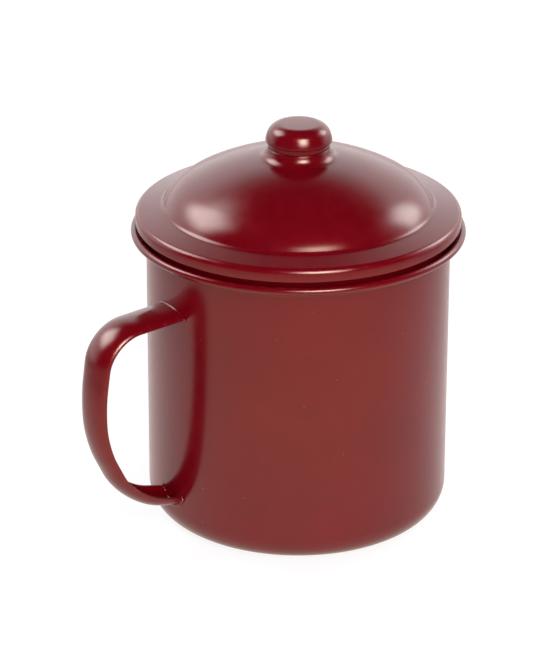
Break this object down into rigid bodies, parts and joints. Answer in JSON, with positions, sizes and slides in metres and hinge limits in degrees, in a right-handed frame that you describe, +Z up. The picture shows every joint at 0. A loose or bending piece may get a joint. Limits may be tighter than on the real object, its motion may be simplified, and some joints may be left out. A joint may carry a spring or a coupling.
{
  "type": "lidded mug",
  "caption": "Painted sheet steel mug with a rolled rim, a welded strap handle and a domed lift-off lid with a pressed knob.",
  "frame": {"origin": "centre of the flat underside of the cup's base, on the cup's axis", "axes": "+Z up along the cup's axis, -X towards the handle, +Y across the handle's plane"},
  "size_m": [0.1368, 0.11, 0.1356],
  "materials": {
    "cup_paint": "satin dark red paint on sheet steel",
    "handle_paint": "satin dark red paint on sheet steel",
    "weld_paint": "satin dark red paint over a weld bead",
    "lid_paint": "satin dark red paint on sheet steel",
    "knob_paint": "satin dark red paint on sheet steel",
    "knob_cup_paint": "satin dark red paint on sheet steel",
    "zinc_steel": "bright zinc plate"
  },
  "bodies": {
    "mug": {"mug_shell": "cup_paint", "handle_strap": "handle_paint", "handle_weld_upper": "weld_paint", "handle_weld_lower": "weld_paint"},
    "lid": {"lid_shell": "lid_paint", "knob_cap": "knob_paint", "knob_cup": "knob_cup_paint", "knob_nut": "zinc_steel", "knob_washer": "zinc_steel", "knob_screw": "zinc_steel"}
  },
  "joints": [
    {"name": "lid_lift", "type": "slide", "parent": "mug", "child": "lid", "axis": [0, 0, 1], "range_m": [0, 0.08]}
  ]
}
